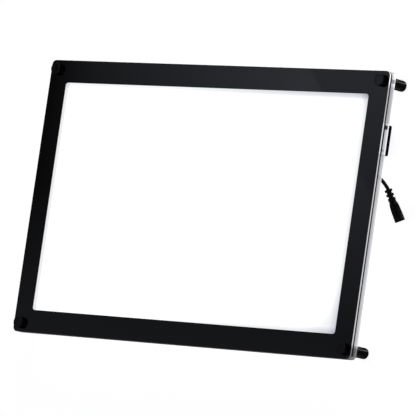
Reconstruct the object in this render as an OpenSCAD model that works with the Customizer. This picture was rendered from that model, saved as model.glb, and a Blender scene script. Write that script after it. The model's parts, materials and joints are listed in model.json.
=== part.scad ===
// Slim LED light box: a lit tracing panel on four corner standoffs, lying face up.
// +X runs to the right, +Y to the top edge and +Z out of the lit face.
// Every module draws about the centre of the panel. on_foot() then moves the whole object,
// so that its origin is on the table, under the middle of the bottom-left foot.

/* [Panel] */
// Width of the panel
panel_w = 450; // [430:1:600]
// Height of the panel
panel_h = 280; // [260:1:420]
// Radius of the panel's corners
corner_r = 5; // [3:0.5:8]
// Width of the black border round the lit window
border = 23; // [21:0.5:30]
// Radius of the window's corners
window_r = 3; // [1:0.5:6]
// Height of the front face above the table
face_z = 32; // [31:0.5:40]

/* [Sheets] */
// Thickness of the black border film
mask_t = 0.3; // [0.2:0.1:0.5]
// Thickness of the clear front panel
front_t = 2.2; // [2:0.1:3]
// Thickness of the dark gasket between the two panels
gasket_t = 1.1; // [0.8:0.1:1.5]
// Thickness of the clear rear panel
rear_t = 5.8; // [5.6:0.1:8]
// Acrylic left under the pocket of the rear panel
pocket_floor = 1; // [0.8:0.1:1.2]
// Solid acrylic round the pocket of the rear panel
pocket_rim = 13; // [13:0.5:16]
// Thickness of the opal diffuser
diffuser_t = 0.8; // [0.5:0.1:1]
// Thickness of the white reflector
reflector_t = 0.4; // [0.3:0.1:0.5]

/* [Light strips] */
// LEDs on each strip
led_count = 24; // [12:1:32]
// Length of a strip's circuit board
strip_len = 400; // [360:1:410]

/* [Corner hardware] */
// Distance from a panel edge to the centre of a corner stud
stud_inset = 9.4; // [9:0.1:10]
// Diameter of a corner stud
stud_d = 5; // [4:0.5:5]
// Diameter of a thumb cap
cap_d = 12; // [11:0.5:14]
// Height of a thumb cap with its washer
cap_h = 4.7; // [4:0.1:8]
// Diameter of a standoff foot
foot_d = 11; // [10:0.5:14]

/* [Control housing] */
// Length of the housing along X
box_w = 60; // [60:1:70]
// Width of the housing along Y
box_l = 30; // [30:0.5:34]
// Height of the housing under the rear panel
box_h = 9; // [9:0.1:12]
// Distance from the panel's right edge to the housing
box_inset = 2.5; // [2.5:0.5:8]
// Middle of the housing along Y
box_y = 74.5; // [60:0.5:80]
// Travel of the power switch
switch_travel = 3; // [2:0.5:3]

/* [Lead] */
// Diameter of the power cable
cable_d = 3.4; // [2.8:0.1:3.4]
// Place of the cable's swing axis along X
cable_x = 190; // [185:0.5:195]
// Middle of the jack's tail
jack_tail = [230.9, 27.2, 17.9];
// Turn of the jack about Z, from +X
jack_turn = -70; // [-80:1:-50]
// Droop of the jack below level
jack_droop = 22; // [10:1:24]
// Length of the jack
jack_len = 32.8; // [30:0.1:36]
// Diameter of the jack at its mouth
jack_d = 9.9; // [9.6:0.1:11]

/* [Hidden] */
$fn = 64;
ABOVE = 0.01;             // how far a cut runs past a face
hole_gap = 0.3;           // radial gap round a stud in the sheets
fit_gap = 0.05;           // radial gap of a running or screwed fit
screw_play = 0.2;         // how much wider a hole is than the screw that passes through it
film_gap = 0.05;          // air between stacked sheets

front_top = face_z - mask_t;
front_z = front_top - front_t;
rear_top = front_z - gasket_t;
rear_z = rear_top - rear_t;
floor_top = rear_z + pocket_floor;
stud_x = panel_w / 2 - stud_inset;
stud_y = panel_h / 2 - stud_inset;
window_w = panel_w - 2 * border;
window_h = panel_h - 2 * border;

pocket_r = 2;
pocket_w = panel_w - 2 * pocket_rim;
pocket_h = panel_h - 2 * pocket_rim;
strip_t = 1;
led_t = 0.8;
led_w = 3;
guide_h = pocket_h - 2 * (strip_t + led_t + 0.2);
guide_left = -pocket_w / 2 + 4;
guide_right = window_w / 2 + 2.6;
reflector_z = floor_top + film_gap;
guide_z = reflector_z + reflector_t + film_gap;
guide_t = rear_top - film_gap - diffuser_t - film_gap - guide_z;
diffuser_z = rear_top - film_gap - diffuser_t;
strip_y = pocket_h / 2 - strip_t - film_gap;
strip_z = guide_z;
strip_h = guide_t - 0.1;
led_y = strip_y - led_t;

washer_t = 0.8;
cap_z = face_z + washer_t;
cap_t = cap_h - washer_t;
cap_edge = 0.4;
stud_top = cap_z + 2.2;
stud_low = rear_z - 10;
insert_d = 7;
insert_len = 12;
pad_t = 1.4;
pad_spigot_d = 4;
pad_spigot_len = 3;

box_x1 = panel_w / 2 - box_inset;
box_x0 = box_x1 - box_w;
box_y0 = box_y - box_l / 2;
box_y1 = box_y + box_l / 2;
box_z = rear_z - box_h;
box_wall = 1.6;
box_r = 2.5;
box_cx = (box_x0 + box_x1) / 2;
tape_t = 0.3;
base_t = 1.2;
base_z = rear_z - tape_t - base_t;
base_gap = 0.1;
board_t = 1;
board_w = 25;
board_l = 23;
board_x0 = box_x0 + 11;
board_y0 = box_y - board_l / 2;
board_z = rear_z - 4;
exit_x = guide_right + 3.8;
exit_y = box_y + 0.5;
exit_r = 2.8;
bush_flange_r = 3.4;
bush_bore_d = 4.4;
wire_d = 0.9;
wire_dx = 1.3;
link_x = strip_len / 2 + film_gap;

post_points = [[box_x0 + 5.5, box_y], [box_x0 + 40.5, box_y1 - 5.5]];
post_r = 2.5;
post_z = box_z + box_wall + 1.2;
housing_screw_d = 2;
housing_head_d = 4.1;
base_screw_d = 2.5;
base_head_d = 4.4;
base_screw_x = box_x1 - 4.4;
base_screw_points = [[base_screw_x, box_y1 - 4.1], [base_screw_x, box_y0 + 4.1]];

switch_x0 = box_x1 - 7.6;
switch_x1 = box_x1 - box_wall;
switch_l = 11;
switch_z0 = box_z + 1.9;
switch_z1 = box_z + 6.9;
slot_z0 = switch_z0 + 1.5;
slot_h = 2;
knob_l = 3.8;
slot_l = knob_l + switch_travel + 0.2;
knob_depth = 4;

cable_r = cable_d / 2;
cable_z = (box_z + box_wall + base_z) / 2;
bushing_neck_d = 4.7;
nose_len = 5;
pivot = [cable_x, box_y0 - nose_len - cable_r - 0.25, cable_z];
core_d = 0.9;
core_dx = 0.8;

jack_axis = [
    cos(jack_droop) * cos(jack_turn),
    cos(jack_droop) * sin(jack_turn),
    -sin(jack_droop)
];
cable_joint = jack_tail - 1.2 * jack_axis;
ring_count = 3;
ring_pitch = 4.35;
ring_t = 2.6;
ring_d = 7.4;
neck_d = 4.8;
body_s = (ring_count - 1) * ring_pitch + ring_t;
socket_d = 8;
socket_len = 13;
insert_bore_d = 5.8;
insert_bore_len = 10;
pin_d = 2.1;
pin_root_d = 1.6;
pin_root_len = 2;
pin_z = jack_len - 0.1 - insert_bore_len;
pin_end = jack_len - 1;
cable_in_jack = 8;

HOUSING = "black";
CLEAR = [0.85, 0.93, 0.95, 0.5];
WHITE = "white";

// ---------- shared shapes ----------

// Rectangle with true round corners, centred
module round_rect(w, h, r) {
    square([w - 2 * r, h], center = true);
    square([w, h - 2 * r], center = true);
    for (sx = [-1, 1], sy = [-1, 1])
        translate([sx * (w / 2 - r), sy * (h / 2 - r)])
            circle(r);
}

module slab(w, h, r, z, t) {
    translate([0, 0, z])
        linear_extrude(t)
            round_rect(w, h, r);
}

// Box between two corners
module block(low, high) {
    translate(low)
        cube(high - low);
}

module rod(z0, z1, d) {
    translate([0, 0, z0])
        cylinder(h = z1 - z0, d = d);
}

module ring(z0, z1, d_out, d_in) {
    difference() {
        rod(z0, z1, d_out);
        rod(z0 - ABOVE, z1 + ABOVE, d_in);
    }
}

// Children at all four corner studs
module at_corners() {
    for (sx = [-1, 1], sy = [-1, 1])
        at_corner(sx, sy)
            children();
}

module at_corner(sx, sy) {
    translate([sx * stud_x, sy * stud_y, 0])
        children();
}

// Clearance holes for the studs, through everything from z0 to z1
module stud_holes(z0, z1) {
    at_corners()
        rod(z0 - ABOVE, z1 + ABOVE, stud_d + 2 * hole_gap);
}

module rod_x(x0, x1, y, z, d) {
    translate([x0, y, z])
        rotate([0, 90, 0])
            cylinder(h = x1 - x0, d = d);
}

module rod_y(x, y0, y1, z, d) {
    translate([x, y1, z])
        rotate([90, 0, 0])
            cylinder(h = y1 - y0, d = d);
}

module elbow(x, y, z, d) {
    translate([x, y, z])
        sphere(d = d);
}

// ---------- the sheets ----------

module border_mask() {
    color("#222226")
        difference() {
            slab(panel_w, panel_h, corner_r, front_top, mask_t);
            slab(window_w, window_h, window_r, front_top - ABOVE, mask_t + 2 * ABOVE);
            stud_holes(front_top, face_z);
        }
}

module front_panel() {
    color(CLEAR)
        difference() {
            slab(panel_w, panel_h, corner_r, front_z, front_t);
            stud_holes(front_z, front_top);
        }
}

module gasket_frame() {
    inset = 0.2;
    open_w = window_w + 6;
    open_h = window_h + 6;
    color("#1c1c20")
        difference() {
            slab(panel_w - 2 * inset, panel_h - 2 * inset, corner_r - inset, rear_top, gasket_t);
            slab(open_w, open_h, window_r, rear_top - ABOVE, gasket_t + 2 * ABOVE);
            stud_holes(rear_top, front_z);
        }
}

module diffuser_sheet() {
    color(WHITE)
        slab(window_w + 16, guide_h, 2, diffuser_z, diffuser_t);
}

module guide_slab(z, t) {
    block([guide_left, -guide_h / 2, z], [guide_right, guide_h / 2, z + t]);
}

module light_guide_plate() {
    color([0.9, 0.96, 1, 0.7])
        guide_slab(guide_z, guide_t);
}

module reflector_sheet() {
    color("#f2f2f0")
        guide_slab(reflector_z, reflector_t);
}

module rear_panel() {
    color(CLEAR)
        difference() {
            slab(panel_w, panel_h, corner_r, rear_z, rear_t);
            slab(pocket_w, pocket_h, pocket_r, floor_top, rear_t);
            stud_holes(rear_z, rear_top);
            translate([exit_x, exit_y, 0])
                rod(rear_z - ABOVE, floor_top + ABOVE, 2 * exit_r);
            for (p = base_screw_points)
                translate([p.x, p.y, 0])
                    rod(rear_z - ABOVE, rear_z + 4, base_screw_d + 2 * fit_gap);
        }
}

// ---------- light strips and their wires ----------

module led_strip(side) {
    y0 = side > 0 ? strip_y : -strip_y - strip_t;
    color("#e8e8e0")
        block([-strip_len / 2, y0, strip_z], [strip_len / 2, y0 + strip_t, strip_z + strip_h]);
}

module led_row(side) {
    pitch = strip_len / led_count;
    y0 = side > 0 ? led_y : -led_y - led_t;
    led_h = strip_h - 0.8;
    color("#f6e9a0")
        for (i = [0 : led_count - 1]) {
            x = -strip_len / 2 + pitch * (i + 0.5);
            block([x - led_w / 2, y0, strip_z + 0.4], [x + led_w / 2, y0 + led_t, strip_z + 0.4 + led_h]);
        }
}

// One feed: along the channel at height z, between the two strips, with a leg down to the board
module feed_wire(x, z, leg_z) {
    y1 = strip_y + strip_t / 2;
    rod_y(x, -y1, y1, z, wire_d);
    for (side = [-1, 1]) {
        elbow(x, side * y1, z, wire_d);
        rod_x(link_x, x, side * y1, z, wire_d);
    }
    translate([x, exit_y, 0])
        rod(leg_z, z, wire_d);
    elbow(x, exit_y, leg_z, wire_d);
    rod_x(board_x0 + board_w + fit_gap, x, exit_y, leg_z, wire_d);
}

module led_wires() {
    color("#b3261e")
        feed_wire(exit_x - wire_dx, floor_top + 1.3, board_z + board_t / 2);
    color("#202020")
        feed_wire(exit_x + wire_dx, floor_top + 2.5, board_z - 1);
}

module wire_bushing() {
    lip_t = 0.6;
    color("#2a2a2a")
        translate([exit_x, exit_y, 0])
            difference() {
                union() {
                    rod(base_z, rear_z, 2 * (bush_flange_r - 0.1));
                    rod(rear_z - ABOVE, floor_top + ABOVE, 2 * (exit_r - fit_gap));
                    rod(floor_top, floor_top + lip_t, 2 * bush_flange_r);
                }
                rod(base_z - ABOVE, floor_top + lip_t + ABOVE, bush_bore_d);
            }
}

// ---------- control housing ----------

module base_outline(z, t) {
    w = box_w - 2 * box_wall - 2 * base_gap;
    l = box_l - 2 * box_wall - 2 * base_gap;
    translate([box_cx, box_y, 0])
        slab(w, l, 1.4, z, t);
}

module exit_hole(z0, z1) {
    translate([exit_x, exit_y, 0])
        rod(z0 - ABOVE, z1 + ABOVE, 2 * bush_flange_r);
}

module at_points(points) {
    for (p = points)
        translate([p.x, p.y, 0])
            children();
}

module base_tape() {
    color("#d8d4c0")
        difference() {
            base_outline(rear_z - tape_t, tape_t);
            exit_hole(rear_z - tape_t, rear_z);
            at_points(base_screw_points)
                rod(rear_z - tape_t - ABOVE, rear_z + ABOVE, base_screw_d + screw_play);
        }
}

module housing_base() {
    peg_d = 2.4;
    color(HOUSING) {
        difference() {
            union() {
                base_outline(base_z, base_t);
                at_points(post_points)
                    rod(post_z + fit_gap, base_z + ABOVE, 2 * post_r);
                for (x = [board_x0 + 2, board_x0 + board_w - 2], y = [board_y0 + 2, board_y0 + board_l - 2])
                    translate([x, y, 0])
                        rod(board_z + board_t, base_z + ABOVE, peg_d);
            }
            exit_hole(base_z, base_z + base_t);
            at_points(base_screw_points)
                rod(base_z - ABOVE, base_z + base_t + ABOVE, base_screw_d + screw_play);
            at_points(post_points)
                rod(post_z - ABOVE, base_z - 0.6, housing_screw_d + 2 * fit_gap);
        }
    }
}

// Cross recess in a screw head that faces down, its mouth at z
module cross_recess(z) {
    for (a = [0, 90])
        rotate(a)
            translate([-1.1, -0.25, z - ABOVE])
                cube([2.2, 0.5, 0.7]);
}

module screw(head_z, head_t, head_d, shank_top, shank_d) {
    difference() {
        union() {
            rod(head_z, head_z + head_t, head_d);
            rod(head_z + head_t - ABOVE, shank_top, shank_d);
        }
        cross_recess(head_z);
    }
}

module base_screws() {
    head_t = 1.2;
    color("silver")
        at_points(base_screw_points)
            screw(base_z - head_t, head_t, base_head_d, rear_z + 3.6, base_screw_d);
}

// Housing blank: a box whose lower edges are rounded
module box_blank() {
    intersection() {
        translate([box_cx, box_y, 0])
            slab(box_w, box_l, box_r, box_z, box_h);
        translate([box_cx, box_y1 + 1, box_z + box_h])
            rotate([90, 0, 0])
                linear_extrude(box_l + 2)
                    round_rect(box_w, 2 * box_h, box_r);
        translate([box_x0 - 1, box_y, box_z + box_h])
            rotate([90, 0, 90])
                linear_extrude(box_w + 2)
                    round_rect(box_l, 2 * box_h, box_r);
    }
}

module control_housing() {
    floor_z = box_z + box_wall;
    color(HOUSING)
        difference() {
            union() {
                difference() {
                    box_blank();
                    translate([box_cx, box_y, 0])
                        slab(box_w - 2 * box_wall, box_l - 2 * box_wall, 1.5, floor_z, box_h);
                }
                at_points(post_points)
                    rod(floor_z - ABOVE, post_z, 6);
            }
            at_points(post_points) {
                rod(box_z - ABOVE, floor_z, housing_head_d + 0.3);
                rod(box_z, post_z + ABOVE, housing_screw_d + 2 * screw_play);
            }
            switch_slot(switch_x1 - ABOVE, box_x1 + ABOVE);
            rod_y(cable_x, box_y0 - ABOVE, box_y0 + box_wall + ABOVE, cable_z, bushing_neck_d + 0.1);
        }
}

module housing_screws() {
    head_t = 1.3;
    color("#303030")
        at_points(post_points)
            screw(box_z + 0.3, head_t, housing_head_d, base_z - 1, housing_screw_d);
}

// ---------- electronics ----------

module control_board() {
    color("#1f6b3a")
        block(
            [board_x0, board_y0, board_z],
            [board_x0 + board_w, board_y0 + board_l, board_z + board_t]
        );
}

module driver_chip() {
    body = 5;
    lead_w = 0.5;
    x = board_x0 + 8;
    y = board_y0 + 8;
    color("#18181a") {
        block([x - body / 2, y - body / 2, board_z - 1.3], [x + body / 2, y + body / 2, board_z - 0.1]);
        for (i = [-1.5 : 1 : 1.5])
            block(
                [x + i * 1.2 - lead_w / 2, y - body / 2 - 0.8, board_z - 0.3],
                [x + i * 1.2 + lead_w / 2, y + body / 2 + 0.8, board_z]
            );
    }
}

module power_inductor() {
    color("#3a3a3c")
        translate([board_x0 + 7, board_y0 + 17, 0])
            slab(7, 7, 1.5, board_z - 2.6, 2.6);
}

module filter_capacitor() {
    color("#c8c8cc")
        translate([board_x0 + 18, board_y0 + 17, 0]) {
            slab(5.4, 5.4, 0.6, board_z - 0.5, 0.5);
            rod(board_z - 3, board_z - 0.5 + ABOVE, 5);
        }
}

// ---------- power switch ----------

module switch_slot(x0, x1) {
    block([x0, box_y - slot_l / 2, slot_z0], [x1, box_y + slot_l / 2, slot_z0 + slot_h]);
}

module switch_body() {
    color("#101012")
        difference() {
            block(
                [switch_x0, box_y - switch_l / 2, switch_z0],
                [switch_x1 - fit_gap, box_y + switch_l / 2, switch_z1]
            );
            switch_slot(box_x1 - knob_depth - 0.1, box_x1);
        }
}

// Sliding knob, flush with the housing, shown in its on position at the lower end of the slot
module switch_knob() {
    y0 = box_y - slot_l / 2 + 0.1;
    groove = 0.35;
    color("#2c2c2e")
        difference() {
            block([box_x1 - knob_depth, y0, slot_z0 + 0.1], [box_x1, y0 + knob_l, slot_z0 + slot_h - 0.1]);
            for (i = [1 : 3])
                block(
                    [box_x1 - groove, y0 + i * knob_l / 4 - 0.2, slot_z0],
                    [box_x1 + ABOVE, y0 + i * knob_l / 4 + 0.2, slot_z0 + slot_h]
                );
        }
}

module switch_wires() {
    color("#c9a227")
        for (dy = [-3, 3])
            rod_x(board_x0 + board_w + fit_gap, switch_x0, box_y + dy, board_z + board_t / 2, wire_d);
}

// ---------- cable and its bushing ----------

module cable_bushing() {
    color("#161618")
        difference() {
            union() {
                rod_y(cable_x, box_y0 + box_wall, box_y0 + box_wall + 1.4, cable_z, 5.8);
                rod_y(cable_x, box_y0 - ABOVE, box_y0 + box_wall + ABOVE, cable_z, bushing_neck_d);
                translate([cable_x, box_y0, cable_z])
                    rotate([90, 0, 0])
                        cylinder(h = nose_len, d1 = 7, d2 = 5);
            }
            rod_y(cable_x, box_y0 - nose_len - 1, box_y0 + box_wall + 3, cable_z, cable_d + 2 * fit_gap);
        }
}

module cable_tail() {
    y_end = box_y0 + box_wall + 1.8;
    color("#0c0c0e") {
        rod_y(cable_x, box_y0 - nose_len, y_end, cable_z, cable_d);
        for (dx = [-core_dx, core_dx])
            rod_y(cable_x + dx, y_end - 0.2, y_end + 2.4, board_z - core_d / 2, core_d);
    }
}

function bezier(p0, p1, p2, p3, t) =
    pow(1 - t, 3) * p0 + 3 * pow(1 - t, 2) * t * p1 + 3 * (1 - t) * t * t * p2 + pow(t, 3) * p3;

function unit(v) = v / norm(v);

// Direction of a path at point i
function heading(path, i) =
    unit(path[min(i + 1, len(path) - 1)] - path[max(i - 1, 0)]);

// Circle of points round a path point, square to the path there
function hoop(centre, along, r, sides) =
    let (side = unit(cross([0, 0, 1], along)), up = cross(along, side))
    [for (k = [0 : sides - 1]) centre + r * (cos(360 * k / sides) * side + sin(360 * k / sides) * up)];

// Tube with one radius per path point
module tube(path, radii, sides) {
    n = len(path);
    points = [for (i = [0 : n - 1]) each hoop(path[i], heading(path, i), radii[i], sides)];
    walls = [
        for (i = [0 : n - 2], k = [0 : sides - 1])
            let (a = i * sides + k, b = i * sides + (k + 1) % sides)
            [a, a + sides, b + sides, b]
    ];
    ends = [
        [for (k = [0 : sides - 1]) k],
        [for (k = [sides - 1 : -1 : 0]) (n - 1) * sides + k]
    ];
    polyhedron(points, concat(walls, ends));
}

module power_cable() {
    steps = 22;
    dome = 4;
    leave = pivot + [6, -10, 0];
    arrive = cable_joint + [-15.2, 18.3, 3.3];
    curve = [for (i = [1 : steps]) bezier(pivot, leave, arrive, cable_joint, i / steps)];
    start = unit(leave - pivot);
    cap = [for (i = [0 : dome]) pivot - cable_r * cos(90 * i / dome) * start];
    cap_r = [for (i = [0 : dome]) max(0.1, cable_r * sin(90 * i / dome))];
    path = concat(cap, curve, [jack_tail + cable_in_jack * jack_axis]);
    radii = concat(cap_r, [for (i = [0 : steps]) cable_r]);
    color("#0c0c0e")
        tube(path, radii, 20);
}

// ---------- jack ----------

// Children drawn along +Z from the jack's tail, placed on the lead
module on_jack() {
    translate(jack_tail)
        rotate([0, 90 + jack_droop, jack_turn])
            children();
}

module jack_overmould() {
    r_mouth = jack_d / 2;
    r_start = 3.35;
    color("#141416")
        on_jack()
            difference() {
                union() {
                    rod(0, body_s, neck_d);
                    for (i = [0 : ring_count - 1])
                        rod(i * ring_pitch, i * ring_pitch + ring_t, ring_d);
                    rotate_extrude()
                        polygon([
                            [0, body_s - ABOVE], [r_start, body_s - ABOVE], [r_start + 0.1, body_s + 1],
                            [4.4, body_s + 5.5], [4.75, body_s + 10.5], [r_mouth, body_s + 16],
                            [r_mouth, jack_len - 0.6], [r_mouth - 0.6, jack_len], [0, jack_len]
                        ]);
                }
                rod(-ABOVE, cable_in_jack + 1, cable_d + 2 * fit_gap + 0.1);
                rod(jack_len - socket_len, jack_len + ABOVE, socket_d);
            }
}

module jack_insert() {
    color("#202022")
        on_jack()
            difference() {
                rod(jack_len - socket_len, jack_len - 0.1, socket_d - 0.04);
                rod(jack_len - 0.1 - insert_bore_len, jack_len + ABOVE, insert_bore_d);
                rod(jack_len - socket_len - ABOVE, jack_len, pin_root_d + 0.04);
            }
}

module jack_contact() {
    z0 = jack_len - insert_bore_len + 1;
    color("#d8b45a")
        on_jack()
            translate([0, 0, z0])
                rotate_extrude(angle = 60)
                    translate([insert_bore_d / 2 - 0.12, 0])
                        square([0.11, 7]);
}

module jack_pin() {
    tip = 0.4;
    color("#d9d9dc")
        on_jack() {
            rod(pin_z - pin_root_len, pin_z + ABOVE, pin_root_d);
            rod(pin_z, pin_end - tip, pin_d);
            translate([0, 0, pin_end - tip])
                cylinder(h = tip, d1 = pin_d, d2 = pin_d - 2 * tip);
        }
}

// ---------- corner hardware ----------

module standoff_feet() {
    edge = 0.2;
    color("#1a1a1c")
        at_corners()
            difference() {
                union() {
                    rod(pad_t + edge, rear_z, foot_d);
                    translate([0, 0, pad_t])
                        cylinder(h = edge, d1 = foot_d - 2 * edge, d2 = foot_d);
                }
                rod(rear_z - insert_len, rear_z + ABOVE, insert_d);
                rod(pad_t - ABOVE, pad_t + pad_spigot_len + 0.2, pad_spigot_d + 0.04);
            }
}

module foot_inserts() {
    color("#b8913c")
        at_corners()
            ring(rear_z - insert_len, rear_z, insert_d - 0.04, stud_d + 2 * fit_gap);
}

module foot_pads() {
    edge = 0.4;
    pad_d = foot_d - 0.2;
    color("#0e0e10")
        at_corners() {
            cylinder(h = edge, d1 = pad_d - 2 * edge, d2 = pad_d);
            rod(edge, pad_t, pad_d);
            rod(pad_t - ABOVE, pad_t + pad_spigot_len, pad_spigot_d);
        }
}

module washer(sx, sy) {
    color("#101012")
        at_corner(sx, sy)
            ring(face_z, cap_z, cap_d - 1, stud_d + 2 * fit_gap);
}

module thumb_cap(sx, sy) {
    color("#2a2a2e")
        at_corner(sx, sy)
            difference() {
                union() {
                    rod(cap_z, cap_z + cap_t - cap_edge, cap_d);
                    translate([0, 0, cap_z + cap_t - cap_edge])
                        cylinder(h = cap_edge, d1 = cap_d, d2 = cap_d - 2 * cap_edge);
                }
                rod(cap_z - ABOVE, stud_top, stud_d + 0.04);
            }
}

module stud(sx, sy) {
    tip = 0.6;
    color("#8a8a8e")
        at_corner(sx, sy) {
            rod(stud_low + tip, stud_top, stud_d);
            translate([0, 0, stud_low])
                cylinder(h = tip, d1 = stud_d - 2 * tip, d2 = stud_d);
        }
}

// The whole drawing, moved so that the bottom-left foot stands on the origin
module on_foot() {
    translate([stud_x, stud_y, 0])
        children();
}

on_foot() border_mask();
on_foot() front_panel();
on_foot() gasket_frame();
on_foot() diffuser_sheet();
on_foot() light_guide_plate();
on_foot() reflector_sheet();
on_foot() rear_panel();
on_foot() led_strip(1);  // led_strip_top
on_foot() led_strip(-1);  // led_strip_bottom
on_foot() led_row(1);  // led_row_top
on_foot() led_row(-1);  // led_row_bottom
on_foot() led_wires();
on_foot() wire_bushing();
on_foot() base_tape();
on_foot() housing_base();
on_foot() base_screws();
on_foot() control_housing();
on_foot() housing_screws();
on_foot() control_board();
on_foot() driver_chip();
on_foot() power_inductor();
on_foot() filter_capacitor();
on_foot() switch_body();
on_foot() switch_knob();
on_foot() switch_wires();
on_foot() cable_bushing();
on_foot() cable_tail();
on_foot() power_cable();
on_foot() jack_overmould();
on_foot() jack_insert();
on_foot() jack_contact();
on_foot() jack_pin();
on_foot() standoff_feet();
on_foot() foot_inserts();
on_foot() foot_pads();
on_foot() washer(-1, 1);  // washer_tl
on_foot() washer(1, 1);  // washer_tr
on_foot() washer(-1, -1);  // washer_bl
on_foot() washer(1, -1);  // washer_br
on_foot() thumb_cap(-1, 1);  // thumb_cap_tl
on_foot() thumb_cap(1, 1);  // thumb_cap_tr
on_foot() thumb_cap(-1, -1);  // thumb_cap_bl
on_foot() thumb_cap(1, -1);  // thumb_cap_br
on_foot() stud(-1, 1);  // stud_tl
on_foot() stud(1, 1);  // stud_tr
on_foot() stud(-1, -1);  // stud_bl
on_foot() stud(1, -1);  // stud_br
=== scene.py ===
"""Looks for the slim LED light box: materials, turned and moulded details, lead, light and camera.

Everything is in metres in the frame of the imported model: the box lies face up on its feet,
with its bottom-left foot on the origin, +X to the right, +Y to the top edge, +Z out of the lit face.
"""

import json
import math

import bpy
from mathutils import Matrix, Vector


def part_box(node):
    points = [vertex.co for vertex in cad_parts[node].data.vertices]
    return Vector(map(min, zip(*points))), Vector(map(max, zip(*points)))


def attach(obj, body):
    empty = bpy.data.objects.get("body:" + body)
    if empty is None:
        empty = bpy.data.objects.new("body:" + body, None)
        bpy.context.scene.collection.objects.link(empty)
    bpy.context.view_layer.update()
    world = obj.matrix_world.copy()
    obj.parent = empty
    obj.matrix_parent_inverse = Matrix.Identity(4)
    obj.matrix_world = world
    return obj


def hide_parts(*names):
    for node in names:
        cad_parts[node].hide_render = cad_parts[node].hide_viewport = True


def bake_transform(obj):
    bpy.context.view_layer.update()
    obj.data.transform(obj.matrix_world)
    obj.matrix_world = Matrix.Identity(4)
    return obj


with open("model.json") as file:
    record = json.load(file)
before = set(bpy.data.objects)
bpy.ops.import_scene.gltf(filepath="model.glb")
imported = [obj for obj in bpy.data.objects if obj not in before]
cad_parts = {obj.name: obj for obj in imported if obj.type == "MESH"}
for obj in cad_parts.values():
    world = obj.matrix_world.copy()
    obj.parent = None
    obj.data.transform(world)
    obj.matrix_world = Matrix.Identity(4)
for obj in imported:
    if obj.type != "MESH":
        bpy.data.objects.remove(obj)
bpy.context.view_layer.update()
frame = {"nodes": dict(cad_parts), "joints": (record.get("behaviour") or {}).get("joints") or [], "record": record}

MM = 0.001
NODES = frame["nodes"]
JOINTS = {j["name"]: j for j in frame["joints"]}
MOUNTS = {m["name"]: m for m in frame["record"]["mounts"]}
SLOTS = {s["node"]: s["material_slot"] for s in frame["record"]["subparts"]}
CORNERS = ("tl", "tr", "bl", "br")

front_low, front_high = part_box("front_panel")
rear_low, rear_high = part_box("rear_panel")
mask_low, mask_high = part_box("border_mask")
housing_low, housing_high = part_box("control_housing")
screws_low, screws_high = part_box("base_screws")
right_stud_low, right_stud_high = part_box("stud_tr")
diffuser_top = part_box("diffuser_sheet")[1].z
CENTRE = Vector(((front_low.x + front_high.x) / 2, (front_low.y + front_high.y) / 2, 0))

# The lit window is what the black border leaves open.
BORDER = 23 * MM
WINDOW_LOW = Vector((mask_low.x + BORDER, mask_low.y + BORDER, diffuser_top))
WINDOW_HIGH = Vector((mask_high.x - BORDER, mask_high.y - BORDER, diffuser_top))

# The camera looks at the panel's middle from its right, rolled so that the top edge is up.
CAMERA_TARGET = CENTRE + Vector((14.3, -2.5, 30.0)) * MM
CAMERA_DISTANCE = 4.9
CAMERA_AZIMUTH = -7.95
CAMERA_ELEVATION = 47.38
CAMERA_UP = Vector((-0.044, 0.985, 0.165))
CAMERA_LENS = 430.2
SENSOR = 36.0

# Painted light in the polished edges of the clear sheets: (share of the thickness from the front, level).
FRONT_EDGE_PAINTED_LIGHT = ((0, 0.7), (0.66, 0.8), (0.78, 0.04))
REAR_EDGE_PAINTED_LIGHT = ((0.04, 0.04), (0.11, 0.5), (0.45, 0.52), (0.7, 0.68), (1, 0.98))

# Painted shade and light for things seen through those edges: (middle and half width along Y,
# share of the thickness from the front, factor on the edge's light).
SCREW_R = 1.9 * MM
HOUSING_SPAN = ((housing_low.y + housing_high.y) / 2, (housing_high.y - housing_low.y) / 2)
PAST_THE_BACK = 2.0
# painted glow along the housing, and a painted dark line at the front of the rear edge beside it
HOUSING_PAINTED_GLOW = (*HOUSING_SPAN, PAST_THE_BACK, 1.6)
HOUSING_PAINTED_SHADE_LINE = (*HOUSING_SPAN, 0.1, 0.03)
# painted dark patches where the screws and the right stud show through the rear edge
UPPER_SCREW_PAINTED_SHADE = (screws_high.y - SCREW_R, 2.0 * MM, 0.72, 0.04)
LOWER_SCREW_PAINTED_SHADE = (screws_low.y + SCREW_R, 0.8 * MM, 0.5, 0.4)
RIGHT_STUD_PAINTED_SHADE = ((right_stud_low.y + right_stud_high.y) / 2, 2.0 * MM, 0.95, 0.4)


# ---------------------------------------------------------------- node helpers
# An output is passed on as a (node, output) pair.

def new_material(name):
    material = bpy.data.materials.new(name)
    material.use_nodes = True
    material.node_tree.nodes.clear()
    return material, material.node_tree


def add(tree, kind, **values):
    """A shader node. Lower-case keys are node properties, capitalised ones are inputs."""
    node = tree.nodes.new("ShaderNode" + kind)
    for key, value in values.items():
        if key[0].islower():
            setattr(node, key, value)
        else:
            node.inputs[key.replace("_", " ")].default_value = value
    return node


def link(tree, source, node, socket):
    tree.links.new(source[0].outputs[source[1]], node.inputs[socket])


def feed(tree, value, node, socket):
    """Sets an input to a number, or links it to an output."""
    if isinstance(value, tuple):
        link(tree, value, node, socket)
    else:
        node.inputs[socket].default_value = value


def math_node(tree, operation, *values):
    node = add(tree, "Math", operation=operation)
    for index, value in enumerate(values):
        feed(tree, value, node, index)
    return node, "Value"


def times(tree, first, *others):
    for other in others:
        first = math_node(tree, "MULTIPLY", first, other)
    return first


def plus(tree, first, *others):
    for other in others:
        first = math_node(tree, "ADD", first, other)
    return first


def value_range(tree, source, low, high, to_low, to_high):
    """Clamped straight ramp."""
    node = add(tree, "MapRange", From_Min=low, From_Max=high, To_Min=to_low, To_Max=to_high)
    link(tree, source, node, "Value")
    return node, "Result"


def soft_range(tree, source, low, high, to_low=0, to_high=1):
    """Clamped ramp that eases in and out."""
    ramp = value_range(tree, source, low, high, to_low, to_high)
    ramp[0].interpolation_type = "SMOOTHSTEP"
    return ramp


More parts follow.
